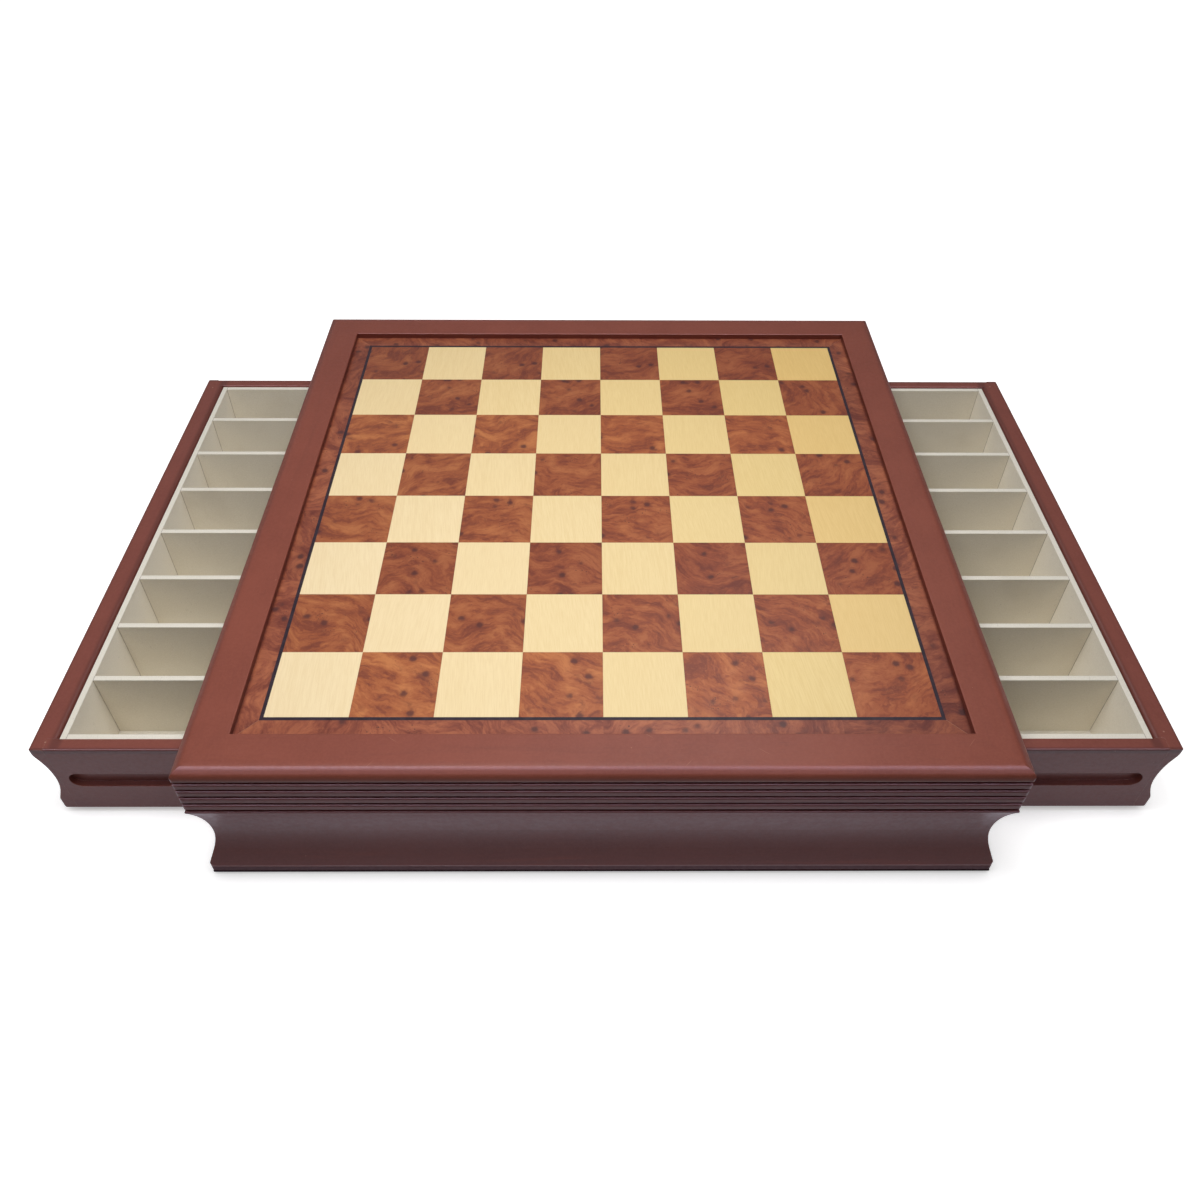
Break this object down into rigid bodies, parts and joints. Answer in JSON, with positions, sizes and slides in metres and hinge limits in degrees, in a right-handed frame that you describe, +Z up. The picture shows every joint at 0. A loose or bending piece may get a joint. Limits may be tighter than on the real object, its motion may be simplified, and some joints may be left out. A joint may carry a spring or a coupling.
{
  "type": "chess box with drawers",
  "caption": "Low square chess box: a veneered playing board in a mitred frame on a coved and reeded case, with a lined, divided drawer that slides out at each side.",
  "frame": {"origin": "centre of the case's flat underside", "axes": "+X right, the way the right drawer opens; +Y away from the player; +Z up"},
  "size_m": [0.5697, 0.3902, 0.0856],
  "materials": {
    "frame_wood": "satin lacquer, red-brown",
    "moulding_wood": "satin lacquer, dark red-brown",
    "drawer_wood": "satin lacquer, red-brown",
    "plain_wood": "bare plywood",
    "runner_wood": "bare hardwood, waxed",
    "maple_veneer": "satin lacquered veneer",
    "burl_veneer": "satin lacquered burl veneer",
    "black_line": "satin lacquered dyed veneer",
    "lining": "cream flocked lining board",
    "screw_steel": "zinc plated"
  },
  "bodies": {
    "case": {"frame_rail_near": "frame_wood", "frame_rail_right": "frame_wood", "frame_rail_far": "frame_wood", "frame_rail_left": "frame_wood", "reeded_rail_near": "moulding_wood", "reeded_rail_right": "moulding_wood", "reeded_rail_far": "moulding_wood", "reeded_rail_left": "moulding_wood", "cove_panel_near": "moulding_wood", "cove_panel_far": "moulding_wood", "corner_return_near_left": "moulding_wood", "corner_return_near_right": "moulding_wood", "corner_return_far_left": "moulding_wood", "corner_return_far_right": "moulding_wood", "guide_wall_near": "plain_wood", "guide_wall_far": "plain_wood", "runner_near": "runner_wood", "runner_far": "runner_wood", "base_board": "moulding_wood", "centre_partition": "plain_wood", "board_core": "plain_wood", "light_squares": "maple_veneer", "dark_squares": "burl_veneer", "stringing": "black_line", "burl_border": "burl_veneer", "base_screws": "screw_steel"},
    "left_drawer": {"left_front": "drawer_wood", "left_back": "drawer_wood", "left_side_near": "drawer_wood", "left_side_far": "drawer_wood", "left_bottom": "plain_wood", "left_liner_front": "lining", "left_liner_back": "lining", "left_liner_near": "lining", "left_liner_far": "lining", "left_cross_divider": "lining", "left_divider_1": "lining", "left_divider_2": "lining", "left_divider_3": "lining", "left_divider_4": "lining", "left_divider_5": "lining", "left_divider_6": "lining", "left_divider_7": "lining"},
    "right_drawer": {"right_front": "drawer_wood", "right_back": "drawer_wood", "right_side_near": "drawer_wood", "right_side_far": "drawer_wood", "right_bottom": "plain_wood", "right_liner_front": "lining", "right_liner_back": "lining", "right_liner_near": "lining", "right_liner_far": "lining", "right_cross_divider": "lining", "right_divider_1": "lining", "right_divider_2": "lining", "right_divider_3": "lining", "right_divider_4": "lining", "right_divider_5": "lining", "right_divider_6": "lining", "right_divider_7": "lining"}
  },
  "joints": [
    {"name": "left_drawer_slide", "type": "slide", "parent": "case", "child": "left_drawer", "axis": [-1, 0, 0], "range_m": [-0.087, 0.063]},
    {"name": "right_drawer_slide", "type": "slide", "parent": "case", "child": "right_drawer", "axis": [1, 0, 0], "range_m": [-0.0925, 0.0575]}
  ]
}
